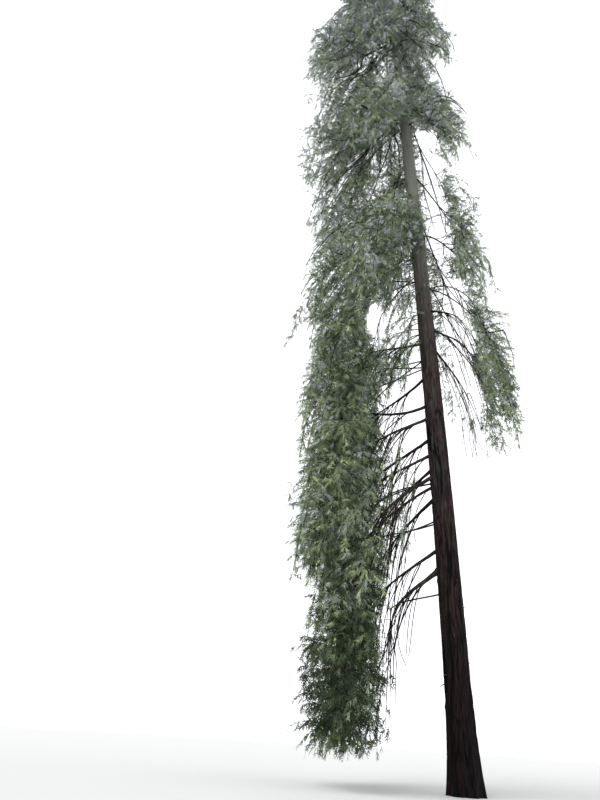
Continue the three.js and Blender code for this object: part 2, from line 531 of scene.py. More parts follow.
# On the trunk the near-black furrow colour is also painted shade in the furrows.
TRUNK_FINISH = BarkFinish(name="redwood_trunk_bark", ridge=(0.076, 0.040, 0.039),
                          weathered=(0.030, 0.023, 0.025), furrow=(0.002, 0.002, 0.002),
                          lichen=(0.245, 0.252, 0.226), lichen_share=0.12, grain=34.0, bump=0.02,
                          relief=True, painted_foot_shade=0.85)
BOUGH_FINISH = BarkFinish(name="redwood_bough_bark", ridge=(0.030, 0.023, 0.021),
                          weathered=(0.042, 0.036, 0.031), furrow=(0.010, 0.008, 0.008),
                          lichen=(0.075, 0.085, 0.060), lichen_share=0.45, grain=60.0, bump=0.004)
TWIG_FINISH = BarkFinish(name="redwood_twig_bark", ridge=(0.040, 0.028, 0.022),
                         weathered=(0.050, 0.040, 0.030), furrow=(0.016, 0.012, 0.010),
                         lichen=(0.060, 0.070, 0.050), lichen_share=0.3, grain=80.0, bump=0.002)


class Lattice:
    """Smooth random heights over a trunk, which close on themselves round it."""

    def __init__(self, seed: int, columns: int, rows: int) -> None:
        """Deals out the heights at the lattice's own points."""
        self.values = np.random.default_rng(seed).uniform(-1.0, 1.0, (rows + 2, columns))

    def at(self, turn: Array, along: Array) -> Array:
        """Heights between the lattice's points.

        Args:
            turn: Places round the trunk, as shares of a turn.
            along: Places up the trunk, from 0 to 1.

        Returns:
            The heights, from -1 to 1.
        """
        rows, columns = self.values.shape
        across = np.mod(turn, 1.0) * columns
        upward = np.clip(along, 0.0, 1.0) * (rows - 2)
        column = np.floor(across).astype(int)
        row = np.floor(upward).astype(int)
        left, right = column % columns, (column + 1) % columns
        share = eased(across - column)
        low = blended(self.values[row, left], self.values[row, right], share)
        high = blended(self.values[row + 1, left], self.values[row + 1, right], share)
        return blended(low, high, eased(upward - row))


@dataclass
class TrunkForm:
    """The trunk's axis and girth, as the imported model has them."""

    height: float = 40.0
    girth: float = 0.335
    taper: float = 0.42
    tip_radius: float = 0.014
    flare: float = 0.092
    flare_height: float = 0.9
    lobes: int = 6
    lobe_depth: float = 0.042
    lean: float = 1.1
    lean_power: float = 1.7

    def centre(self, height: Array | float) -> Array:
        """Finds points of the trunk's axis.

        Args:
            height: Their heights above ground.

        Returns:
            The points, along the last axis.
        """
        level = np.asarray(height, float)
        leaning = -self.lean * (level / self.height) ** self.lean_power
        return np.stack([leaning, np.zeros_like(level), level], axis=-1)

    def radius(self, height: Array | float, angle: Array | float = 0.0) -> Array:
        """Measures the trunk from its axis to its bark.

        Args:
            height: Heights above ground.
            angle: Angles round the trunk.

        Returns:
            The distances.
        """
        level = np.asarray(height, float)
        stem = self.girth * np.clip(1.0 - level / self.height, 0.0, 1.0) ** self.taper
        spread = np.exp(-level / self.flare_height)
        lobes = self.lobe_depth * (np.cos(self.lobes * angle) + 0.5 * np.sin(2.0 * angle))
        return np.maximum(self.tip_radius, stem + spread * (self.flare + lobes))

    def on_bark(self, height: float, angle: float, depth: float = 0.03) -> Array:
        """A point just under the bark, where a limb starts."""
        return self.centre(height) + bearing(angle) * max(0.0, float(self.radius(height, angle)) - depth)

    def outward(self, spot: Array) -> Array:
        """The level heading from the trunk's axis to a point."""
        return unit((spot - self.centre(spot[2])) * LEVEL)


@dataclass
class TrunkBark:
    """The trunk with its furrows, ridges and the knots of lost limbs.

    crowding sets the rings closer towards the ground. A furrow is as deep as furrow_share of the
    trunk's radius and least_furrow more. Broad, narrow and fine patterns each have their share of it,
    and wander is how far round the trunk the first two bend, as a share of a turn.
    """

    form: TrunkForm
    sides: int = 180
    rings: int = 500
    crowding: float = 1.3
    furrow_share: float = 0.075
    least_furrow: float = 0.006
    wander: float = 0.022
    broad_share: float = 0.62
    broad_width: float = 0.17
    narrow_share: float = 0.38
    narrow_width: float = 0.22
    fine_share: float = 0.14
    knots: int = 60
    knot_levels: Range = (0.9, 24.0)
    knot_sizes: Range = (0.022, 0.05)
    knot_stretch: float = 1.25
    knot_rise: float = 0.018
    thinnest: float = 0.008
    seed: int = 11

    def _bark(self, turn: Array, height: Array) -> Array:
        """Draws the furrows.

        Args:
            turn: Places round the trunk, as shares of a turn.
            height: Heights above ground.

        Returns:
            How deep the bark is there, from 0 on a ridge to 1 in a furrow.
        """
        along = height / self.form.height
        wander = Lattice(self.seed, columns=9, rows=60).at(turn, along) * self.wander
        broad = Lattice(self.seed + 1, columns=24, rows=30).at(turn + wander, along)
        narrow = Lattice(self.seed + 2, columns=45, rows=75).at(turn + wander, along)
        fine = Lattice(self.seed + 3, columns=90, rows=260).at(turn, along)
        depth = self.broad_share * np.exp(-((broad / self.broad_width) ** 2))
        depth = depth + self.narrow_share * np.exp(-((narrow / self.narrow_width) ** 2))
        return np.clip(depth + self.fine_share * fine, 0.0, 1.0)

    def _knots(self, turn: Array, height: Array) -> Array:
        """Draws the knots.

        Args:
            turn: Places round the trunk, as shares of a turn.
            height: Heights above ground.

        Returns:
            How near each place is to the middle of a knot, from 0 to 1.
        """
        rng = np.random.default_rng(self.seed + 4)
        levels = rng.uniform(*self.knot_levels, self.knots)
        places = rng.uniform(0.0, 1.0, self.knots)
        sizes = rng.uniform(*self.knot_sizes, self.knots)
        found = np.zeros_like(turn)
        for level, place, size in zip(levels, places, sizes, strict=True):
            away = np.abs(np.mod(turn - place + 0.5, 1.0) - 0.5) * FULL_TURN * self.form.radius(level)
            reach = (away / size) ** 2 + ((height - level) / (size * self.knot_stretch)) ** 2
            found = np.maximum(found, np.exp(-reach))
        return found

    def build(self) -> None:
        """Builds the relief mesh and dresses it."""
        level = self.form.height * np.linspace(0.0, 1.0, self.rings + 1) ** self.crowding
        height, turn = np.meshgrid(level, np.arange(self.sides) / self.sides, indexing="ij")
        angle = turn * FULL_TURN
        furrow = self._bark(turn, height)
        knot = self._knots(turn, height)
        radius = self.form.radius(height, angle)
        deepest = self.least_furrow + self.furrow_share * np.minimum(radius, self.form.girth)
        radius = radius - deepest * furrow + knot * self.knot_rise
        out = np.stack([np.cos(angle), np.sin(angle), np.zeros_like(angle)], axis=-1)
        points = self.form.centre(height) + out * np.maximum(radius, self.thinnest)[..., None]
        faces = ring_faces(1, self.rings + 1, self.sides)[:, ::-1]
        piece = joined_mesh("trunk_relief", points.reshape(-1, 3), faces, TRUNK_FINISH.material(), True)
        add_attribute(piece, "furrow", furrow)
        add_attribute(piece, "knot", knot)
        report(piece, ["trunk"])


def ring_faces(tubes: int, rings: int, sides: int) -> Array:
    """Joins the rings of one or more tubes.

    Args:
        tubes: How many tubes there are.
        rings: How many rings each one has.
        sides: How many points each ring has.

    Returns:
        The vertex numbers of each face, one row each.
    """
    tube, ring, side = np.meshgrid(np.arange(tubes), np.arange(rings - 1), np.arange(sides), indexing="ij")
    here = (tube * rings + ring) * sides
    first, second = here + side, here + (side + 1) % sides
    return np.stack([first, first + sides, second + sides, second], axis=-1).reshape(-1, 4)


@dataclass
class Wood:
    """Round limbs of one kind, gathered until they are joined into a piece or more.

    name is what the pieces are called, before their number, and unevenness how lumpy the limbs are.
    """

    name: str
    finish: BarkFinish
    rings: int
    sides: int
    unevenness: float = 0.0
    paths: list[Array] = field(default_factory=list)
    radii: list[Array] = field(default_factory=list)

    def add(self, path: Array, radii: Array) -> None:
        """Takes a limb.

        Args:
            path: Its path, one row for each point.
            radii: Its radius at even steps along it.
        """
        self.paths.append(resampled(path, self.rings))
        steps = np.linspace(0.0, 1.0, len(radii))
        self.radii.append(np.interp(np.linspace(0.0, 1.0, self.rings), steps, radii))

    def build(self, nodes: Iterable[str]) -> None:
        """Joins the limbs into pieces.

        Args:
            nodes: The nodes that they stand for.
        """
        material = self.finish.material()
        paths, radii = np.stack(self.paths), np.stack(self.radii)
        parts = portions(np.arange(len(paths)), 2 * (self.rings - 1) * self.sides)
        for number, chosen in enumerate(parts, 1):
            points = self._rings(paths[chosen], radii[chosen])
            faces = ring_faces(len(chosen), self.rings, self.sides)
            label = f"{self.name}_{number}" if len(parts) > 1 else self.name
            report(joined_mesh(label, points, faces, material, True), nodes)

    def _rings(self, paths: Array, radii: Array) -> Array:
        """Draws a ring of vertices round each point of some paths.

        Args:
            paths: The points, by path.
            radii: The radius at each point, by path.

        Returns:
            The vertices, one row each.
        """
        heading = unit(np.gradient(paths, axis=1))
        across = np.cross(heading[:, 0], heading[:, -1])
        # A limb that is nearly straight takes its sides from a slanted line, as it has no bend of its own.
        spare = np.cross(heading[:, 0], unit(np.array([0.36, 0.48, 0.8])))
        straight = np.linalg.norm(across, axis=1, keepdims=True) < 0.05
        across = np.where(straight, spare, across)[:, None, :]
        across = unit(across - heading * (across * heading).sum(-1, keepdims=True))
        upright = np.cross(across, heading)
        angle = FULL_TURN * np.arange(self.sides) / self.sides
        step = np.arange(self.rings)[:, None]
        limb = np.arange(len(paths))[:, None, None]
        uneven = np.sin(3.0 * angle + 0.9 * step + 2.1 * limb) + np.sin(5.0 * angle - 1.7 * step + limb)
        girth = radii[:, :, None] * (1.0 + 0.5 * self.unevenness * uneven)
        rim = np.cos(angle)[:, None] * across[:, :, None, :]
        rim = rim + np.sin(angle)[:, None] * upright[:, :, None, :]
        return (paths[:, :, None, :] + girth[..., None] * rim).reshape(-1, 3)


@dataclass
class SprayBed:
    """Where sprays of one build sit, gathered branchlet by branchlet.

    pairs is how many pairs of needles a spray has, needle_share how long they are beside it, and
    slenderness how wide they are beside their length. shoot_share is the width of its shoot. forward
    is the needles' angle to the shoot, and chance moves their feet, angles, lifts and sizes by the
    spreads. No spray hangs lower than lowest.
    """

    pairs: int
    needle_share: float
    slenderness: float
    shoot_share: float
    forward: float = math.radians(44.0)
    foot_spread: float = 0.3
    angle_spread: float = 0.4
    lift_spread: float = 0.45
    size_spread: Range = (0.6, 1.3)
    droop: float = 0.12
    tip_drop: float = 0.08
    lowest: float = 0.45
    seed: int = 23
    laid: list[tuple[Array, ...]] = field(default_factory=list)

    def add(self, base: Array, heading: Array, side: Array, length: Array, sag: Array, tint: Array) -> None:
        """Takes sprays, but for those that would hang too low.

        Args:
            base: Their feet.
            heading: Their headings.
            side: Their level sides.
            length: Their lengths.
            sag: How far their tips come down, beside their length.
            tint: The numbers of their tints.
        """
        kept = base[:, 2] + np.minimum(heading[:, 2], 0.0) * length - sag * length > self.lowest
        self.laid.append(tuple(rows[kept] for rows in (base, heading, side, length, sag, tint)))

    def count(self) -> int:
        """How many sprays there are."""
        return sum(len(rows[0]) for rows in self.laid)

    def corners(self) -> tuple[Array, Array]:
        """Draws the faces of all the sprays.

        Returns:
            Three corners of each face of the needles and shoots, by sprays, and each spray's tint.
        """
        rows = [np.concatenate(column) for column in zip(*self.laid, strict=True)]
        base, heading, side = rows[0][:, None], unit(rows[1])[:, None], rows[2][:, None]
        side = unit(side - heading * (side * heading).sum(-1, keepdims=True))
        span, sag = rows[3][:, None, None], rows[4][:, None, None]
        blades = self._blades(base, heading, side, span, sag)
        shoots = self._shoots(base, heading, side, span, sag)
        return np.concatenate([blades, shoots], axis=1), rows[5]

    def _blades(self, base: Array, heading: Array, side: Array, span: Array, sag: Array) -> Array:
        """Draws the needles.

        Args:
            base: The feet of the sprays.
            heading: Their headings.
            side: Their level sides.
            span: Their lengths.
            sag: How far their tips come down, beside their length.

        Returns:
            The two sides of the foot and the tip of each needle, by sprays.
        """
        rng = np.random.default_rng(self.seed)
        shape = (len(base), 2 * self.pairs, 1)
        steps = np.repeat((np.arange(self.pairs) + 0.7) / self.pairs, 2)[None, :, None]
        reach = steps + rng.uniform(-self.foot_spread, self.foot_spread, shape) / self.pairs
        rank = np.tile([1.0, -1.0], self.pairs)[None, :, None]
        foot = base + span * (heading * reach + DOWN * sag * reach**2)
        course = unit(heading + DOWN * 2.0 * sag * reach)
        flat = unit(np.cross(course, np.broadcast_to(side, course.shape)))
        lean = self.forward + rng.uniform(-self.angle_spread, self.angle_spread, shape)
        lift = np.cross(side, heading) * rng.uniform(-self.lift_spread, self.lift_spread, shape)
        blade = unit(course * np.cos(lean) + side * rank * np.sin(lean) + lift + self.droop * DOWN)
        # Needles are longest near the middle of a spray and short towards its tip.
        size = span * self.needle_share * np.sin(math.pi * (0.22 + 0.68 * np.clip(reach, 0.0, 1.0)))
        size = size * rng.uniform(*self.size_spread, shape)
        wing = unit(np.cross(flat, blade)) * size * self.slenderness * 0.5
        tip = foot + blade * size + DOWN * size * self.tip_drop
        return np.stack([foot + wing, foot - wing, tip], axis=2)

    def _shoots(self, base: Array, heading: Array, side: Array, span: Array, sag: Array) -> Array:
        """Draws the shoots that the needles sit on.

        Args:
            base: The feet of the sprays.
            heading: Their headings.
            side: Their level sides.
            span: Their lengths.
            sag: How far their tips come down, beside their length.

        Returns:
            The corners of the lower and the upper face of each shoot, by sprays.
        """
        wing = side * span * self.shoot_share * 0.5
        # A shoot is widest at 0.4 of its length, where it has come down by 0.16 of its sag.
        middle = base + span * (heading * 0.4 + DOWN * sag * 0.16)
        tip = base + span * (heading + DOWN * sag) * 1.06
        lower = np.stack([base, middle + wing, middle - wing], axis=2)
        upper = np.stack([tip, middle - wing, middle + wing], axis=2)
        return np.concatenate([lower, upper], axis=1)


def build_needles(beds: list[SprayBed], nodes: list[str]) -> None:
    """Builds the needles of each tint from all the beds.

    Args:
        beds: The sprays.
        nodes: The nodes that they stand for.
    """
    laid = [bed.corners() for bed in beds]
    for number, tint in enumerate(TINTS):
        material = tint.value.material()
        rows = np.concatenate([corners[tints == number].reshape(-1, 3, 3) for corners, tints in laid])
        for part, chosen in enumerate(portions(rows, 1), 1):
            faces = np.arange(3 * len(chosen)).reshape(-1, 3)
            label = f"{tint.value.name}_{part}"
            report(joined_mesh(label, chosen.reshape(-1, 3), faces, material, False), nodes)


@dataclass(frozen=True)
class SkyGap:
    """Where sky shows through the crown, on the trunk's plane as the viewer sees it."""

    left: float
    right: float
    low: float
    high: float

    def nearness(self, across: Array, level: Array) -> Array:
        """Measures how near points are to the gap's middle.

        Args:
            across: How far they are from the trunk's axis, to the right.
            level: Their heights.

        Returns:
            Numbers below 1 inside the gap and above 1 outside it.
        """
        aside = (2.0 * across - self.left - self.right) / (self.right - self.left)
        above = (2.0 * level - self.low - self.high) / (self.high - self.low)
        return aside**4 + above**4


@dataclass
class Openings:
    """The gaps in the crown, and the viewpoint that they are seen from.

    Waves move a gap's edge by wander, and chance moves it inward by up to ragged.
    """

    form: TrunkForm
    distance: float = VIEW_DISTANCE
    eye: float = EYE_HEIGHT
    ragged: float = 0.55
    wander: float = 0.3
    gaps: tuple[SkyGap, ...] = (
        SkyGap(left=0.30, right=1.35, low=15.5, high=25.0),
        SkyGap(left=0.50, right=1.60, low=7.5, high=16.5),
        SkyGap(left=-2.05, right=-1.40, low=12.7, high=15.1),
        SkyGap(left=-1.75, right=-0.75, low=8.8, high=11.4),
        SkyGap(left=-2.00, right=-0.55, low=1.2, high=5.3),
    )

    def hold(self, rng: np.random.Generator, points: Array) -> Array:
        """Which points lie in a gap, with a ragged edge.

        Args:
            rng: Where the raggedness comes from.
            points: Places in the crown, one row each.

        Returns:
            True for each point that has to stay open.
        """
        nearer = self.distance / np.maximum(self.distance + points[:, 1], 1.0)
        level = self.eye + (points[:, 2] - self.eye) * nearer
        across = points[:, 0] * nearer - self.form.centre(np.clip(level, 0.0, self.form.height))[:, 0]
        waves = np.sin(2.9 * level + 1.3 * across) + np.sin(6.1 * level - 2.0 * points[:, 1])
        edge = 1.0 + self.wander * waves - self.ragged * rng.uniform(0.0, 1.0, len(points))
        inside = [gap.nearness(across, level) < edge for gap in self.gaps]
        return np.any(inside, axis=0)


@dataclass(frozen=True)
class GrowthRule:
    """How limbs, branchlets and sprays grow inside one kind of foliage mass.

    Lengths are in metres. limbs is a count for each square metre of the mass's outline, and leaders is
    how many of them start at the trunk. outer is a count of bare limbs over the outside, and lift is how
    far those stand off it. girth is a leader's radius, fan how far limbs spread beside the mass's width,
    and bare the share of a leader with no leaves. Branchlets are set at a spacing, run as far as reach,
    and leave the limb at the angle forward. They turn round it by up to roll, and droop and sag bring
    them down. Sprays are set at spray_spacing and are as long as spray, and hang brings them down. plane
    is how freely sprays turn out of the level, and fill is how far from any branchlet a place may be
    before new wood grows towards it.
    """

    limbs: float
    leaders: int
    outer: float
    lift: float
    girth: float
    fan: float
    bare: float
    spacing: float
    reach: float
    forward: float
    roll: float
    droop: float
    sag: float
    spray_spacing: float
    spray: float
    hang: float
    plane: float
    fill: float


class Habit(Enum):
    """The ways in which a mass of foliage grows."""

    CURTAIN = GrowthRule(limbs=1.20, leaders=2, outer=1.0, lift=0.34, girth=0.020, fan=0.90, bare=0.03,
                         spacing=0.25, reach=0.70, forward=0.45, roll=3.1, droop=0.40, sag=0.35,
                         spray_spacing=0.125, spray=0.32, hang=0.40, plane=2.5, fill=0.175)
    TIER = GrowthRule(limbs=0.75, leaders=2, outer=0.55, lift=0.24, girth=0.030, fan=0.86, bare=0.12,
                      spacing=0.28, reach=0.95, forward=0.50, roll=2.2, droop=0.22, sag=0.40,
                      spray_spacing=0.133, spray=0.35, hang=0.35, plane=1.6, fill=0.225)
    SPIRE = GrowthRule(limbs=6.0, leaders=30, outer=0.55, lift=0.24, girth=0.012, fan=0.8, bare=0.1,
                       spacing=0.11, reach=0.5, forward=0.8, roll=0.8, droop=0.1, sag=0.3,
                       spray_spacing=0.10, spray=0.25, hang=0.3, plane=0.9, fill=0.25)


def habit_of(name: str) -> Habit:
    """Tells the habit of a foliage mass.

    Args:
        name: Its node's name.

    Returns:
        The habit.
    """
    if "crown_tip" in name:
        return Habit.SPIRE
    return Habit.TIER if "_tier_" in name else Habit.CURTAIN


class Solid:
    """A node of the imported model, read as points, as a surface and as its mean outline."""

    def __init__(self, name: str) -> None:
        """Reads a node's mesh.

        Args:
            name: The node's name.
        """
        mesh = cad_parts[name].data
        self.name = name
        self.points = np.array([vertex.co for vertex in mesh.vertices], float)
        faces = [list(face.vertices) for face in mesh.polygons]
        self.surface = BVHTree.FromPolygons([Vector(point) for point in self.points], faces)
        self.outline = sum(face.area for face in mesh.polygons) / 4.0

    def room(self, start: Array, heading: Array, most: float) -> float:
        """How far a twig can run from a point before it leaves the solid.

        Args:
            start: Where it starts.
            heading: Its direction.
            most: The longest run worth knowing.

        Returns:
            The distance to the surface from inside, or 0 from outside.
        """
        if self.depth(start) < 0.0:
            return 0.0
        hit = self.surface.ray_cast(Vector(start), Vector(heading), most)
        return most if hit[0] is None else float(hit[3])

    def inner_spots(self, rng: np.random.Generator, spacing: float) -> Array:
        """Deals out random points in and just outside the solid.

        Args:
            rng: Where they come from.
            spacing: The side of the cube that each one has to itself, on average.

        Returns:
            The points, one row each.
        """
        low, high = self.points.min(axis=0), self.points.max(axis=0)
        spots = rng.uniform(low, high, (int(np.prod(high - low) / spacing**3), 3))
        return np.array([spot for spot in spots if self.depth(spot) > -SOFT_EDGE * rng.uniform() ** 2])

    def depth(self, spot: Array) -> float:
        """How far a point is under the solid's surface, or less than 0 outside it."""
        near, normal, _, _ = self.surface.find_nearest(Vector(spot))
        return -(Vector(spot) - near).dot(normal)

    def gap(self, spot: Array) -> float:
        """How far a point is from the solid's surface."""
        return float(self.surface.find_nearest(Vector(spot))[3])

    def lifted(self, path: Array, height: float) -> Array:
        """Brings a path out of the solid.

        Args:
            path: The path, one row for each point.
            height: How far over the surface it comes.

        Returns:
            A smooth path that starts as this one does and then comes out to that height.
        """
        near = [self.surface.find_nearest(Vector(spot))[:2] for spot in path]
        over = np.array([spot + normal * height for spot, normal in near])
        path = blended(path, over, eased(np.linspace(0.0, 2.2, len(path)))[:, None])
        for _ in range(SMOOTHINGS):
            path[1:-1] = (path[:-2] + 2.0 * path[1:-1] + path[2:]) / 4.0
        return path

    def curve(self, start: Array, end: Array, degree: int) -> Array:
        """Fits a smooth line through the solid's middle.

        Args:
            start: Where it starts.
            end: Where it ends.
            degree: How much it may bend.

        Returns:
            Its coefficients, one column for each axis.
        """
        chord = end - start
        share = (self.points - start) @ chord / (chord @ chord)
        return np.polyfit(share, self.points, degree)


@dataclass
class Bough:
    """A bare bough: its path from the trunk to where its foliage begins.

    few is how many vertices mark each of its ends, and rooting is how far it runs on into the trunk,
    beside its length. collar is how much thicker it is at its root, over about collar_length.
    """

    solid: Solid
    form: TrunkForm
    steps: int = 24
    few: int = 5
    rooting: float = 0.08
    least_radius: float = 0.02
    collar: float = 0.55
    collar_length: float = 0.16
    thinning: float = 0.5

    def __post_init__(self) -> None:
        """Reads the path and the girth off the node."""
        points = self.solid.points
        out = points[:, :2] - self.form.centre(points[:, 2])[:, :2]
        order = np.argsort(np.linalg.norm(out, axis=1))
        start, end = points[order[:self.few]].mean(axis=0), points[order[-self.few:]].mean(axis=0)
        share = np.linspace(-self.rooting, 1.0, self.steps)
        self.path = read_curve(self.solid.curve(start, end, 3), share)
        away = np.linalg.norm(points[:, None] - self.path[None], axis=2)
        slope = np.polyfit(away.argmin(axis=1) / (self.steps - 1), away.min(axis=1), 1)
        along = np.linspace(0.0, path_length(self.path), self.steps)
        swelling = 1.0 + self.collar * np.exp(-along / self.collar_length)
        thinning = 1.0 - self.thinning * np.clip(share, 0.0, 1.0)
        self.radii = np.maximum(np.polyval(slope, share), self.least_radius) * swelling * thinning

    @property
    def end(self) -> Array:
        """Where the bough goes into its foliage."""
        return self.path[-1]


@dataclass
class Mass:
    """One mass of foliage, with the line that it grows along.

    middle is how far along its line its width is measured, and least_reach and most_reach hold that
    width. One vertex in vertices_per_end, and at least fewest of them, mark each end of the line.
    """

    solid: Solid
    form: TrunkForm
    habit: Habit
    middle: float = 0.6
    least_reach: float = 0.25
    most_reach: float = 2.0
    fewest: int = 4
    vertices_per_end: int = 14

    def __post_init__(self) -> None:
        """Finds the line from the mass's seat, or its top, to its tip, and its width."""
        points = self.solid.points
        out = np.linalg.norm(points[:, :2] - self.form.centre(points[:, 2])[:, :2], axis=1)
        few = max(self.fewest, len(points) // self.vertices_per_end)
        rank = out if self.habit is Habit.TIER else -points[:, 2]
        start = points[np.argsort(rank)[:few]].mean(axis=0)
        end = points[np.argsort(points[:, 2])[:few]].mean(axis=0)
        self.fit = self.solid.curve(start, end, 2)
        middle = self.spine(np.array([self.middle]))[0]
        out = middle - self.form.centre(middle[2])
        self.azimuth = math.atan2(out[1], out[0])
        self.side, self.deep = self._across()

    def spine(self, share: Array) -> Array:
        """Points along the middle of the mass, from 0 at its start to 1 at its tip."""
        return read_curve(self.fit, share)

    def _across(self) -> tuple[Array, Array]:
        """Measures the mass across its line.

        Returns:
            How far it reaches to its side, and through its depth, as two vectors.
        """
        before, middle = self.spine(np.array([0.5, self.middle]))
        level = np.array([-math.sin(self.azimuth), math.cos(self.azimuth), 0.0])
        deep = unit(np.cross(unit(middle - before), level))
        reach = []
        for way in (level, deep):
            room = [self.solid.room(middle, sign * way, self.most_reach) for sign in (1.0, -1.0)]
            reach.append(way * max(self.least_reach, sum(room) / 2.0))
        return reach[0], reach[1]

    def offset(self, turn: float, share: float) -> Array:
        """A step away from the line, at an angle round it, as a share of the mass's width there."""
        return share * (math.cos(turn) * self.side + math.sin(turn) * self.deep)

    def nearest_share(self, spot: Array) -> float:
        """Finds how far along the mass's line it comes nearest to a point.

        Args:
            spot: The point.

        Returns:
            The share of the line before that place.
        """
        share = np.linspace(0.0, 0.85, 40)
        away = np.linalg.norm(self.spine(share) - spot, axis=1)
        return float(share[away.argmin()])

    def led(self, share: Array, offset: Array, root: Array) -> Array:
        """Leads a path from a root to the mass's line and along it.

        Args:
            share: The places along the line that it is led past.
            offset: How far off the line it comes.
            root: Where it starts.

        Returns:
            The path, one row for each point.
        """
        spine = self.spine(share)
        gone = (share - share[0]) / (share[-1] - share[0])
        aside = offset * eased(gone / 0.5)[:, None]
        return spine + aside + (root - spine[0]) * ((1.0 - gone) ** 2)[:, None]


@dataclass(frozen=True)
class Limb:
    """A limb's path, its radius at its root, and the share of it that is bare."""

    path: Array
    girth: float
    bare: float


@dataclass(frozen=True)
class StringRule:
    """How strings of one kind hang from a bare bough.

    A string's length in metres is about the square of a number between the two in roots, and swing is how
    much of the bough's heading it keeps.
    """

    roots: Range
    swing: Range


class Hanging(Enum):
    """The strings of a bare bough: a few stout, trailing ones, and the thin rest."""

    TRAILING = StringRule(roots=(1.5, 2.0), swing=(0.7, 1.15))
    THIN = StringRule(roots=(0.8, 2.0), swing=(0.4, 1.15))


@dataclass(frozen=True)
class StringHabit:
    """Where strings hang from a bare bough, and how thick and how leafy they are.

    The first few, as many as trailing, are stout and start at even steps along the bough, and the rest
    start at chance places. None falls farther than the share most_fall of its height, and those at the
    bough's end are the shortest. A thin string's radius is girth, and girth_gain more for each metre,
    and a trailing one's is a share of the bough's. leafy_bare is how much of a string is above its first
    leaves if it starts over leafy_above, and sparse_bare the same for others. Those that start under
    bare_below have no leaves.
    """

    per_metre: float = 6.0
    seed: int = 500
    trailing: int = 5
    trailing_start: float = 0.30
    trailing_step: float = 0.14
    trailing_girth: float = 0.45
    places: Range = (0.12, 1.0)
    most_fall: float = 0.5
    longer_at_root: float = 1.2
    shortening: float = 0.6
    girth: float = 0.009
    girth_gain: float = 0.003
    thinning: float = 0.4
    thinnest: float = 0.0085
    leafy_above: float = 11.0
    leafy_bare: Range = (0.1, 0.4)
    sparse_bare: Range = (0.45, 0.8)
    bare_below: float = 7.6
    sway: float = 0.06
    spray_spread: float = 0.5
    spray_lengths: Range = (0.14, 0.28)


@dataclass(frozen=True)
class TintDealer:
    """Deals sprays their tints, by height, in clumps, and by how far out they are.

    A draw is chance times the sum of two chances, the branchlet's and the spray's, with least added,
    and a wave through the crown adds clumping. steepness then spreads the draws evenly from 0 to 1.
    Painted shade at the foot of the curtain is full up to painted_shade_foot, and fades over
    painted_shade_fade.
    """

    chance: float = 0.38
    least: float = 0.12
    clumping: float = 0.15
    steepness: float = 9.3
    painted_shade_foot: float = 0.8
    painted_shade_fade: float = 5.4

    def deal(self, rng: np.random.Generator, base: Array, place: Array, top: float) -> Array:
        """Deals the sprays of a branchlet their tints.

        Args:
            rng: Where the chances come from.
            base: The feet of the sprays.
            place: How far out along its branchlet each one is.
            top: The height of the tree.

        Returns:
            The number of each one's tint.
        """
        across, deep, height = base.T
        high = np.clip(height / top, 0.0, 1.0)
        clump = np.sin(4.3 * across + 1.1 * np.sin(1.3 * height)) * np.sin(3.7 * deep + np.sin(1.7 * height))
        mingled = self.chance * (rng.uniform() + rng.uniform(0.0, 1.0, len(base))) + self.least
        draw = 1.0 / (1.0 + np.exp(-self.steepness * (mingled + self.clumping * clump - 0.5)))
        # Painted shade: how deep a spray is in the darkened foot of the curtain.
        low = 1.0 - eased((height - self.painted_shade_foot) / self.painted_shade_fade)
        shares = np.stack([tint.value.share.at(place, high, low) for tint in TINTS])
        edges = np.cumsum(shares / shares.sum(axis=0), axis=0)
        return np.minimum((draw[None] > edges).sum(axis=0), len(TINTS) - 1)


@dataclass(frozen=True)
class Drape:
    """A row of clothed limbs that arch out of the trunk's bark and hang close to it.

    levels are the heights of the lowest and the highest root, and turns the angles round the trunk
    that they lie between, in degrees. reach and drop are how far out and down the longest ones hang.
    """

    count: int
    levels: Range
    turns: Range
    reach: float
    drop: float
    seed: int


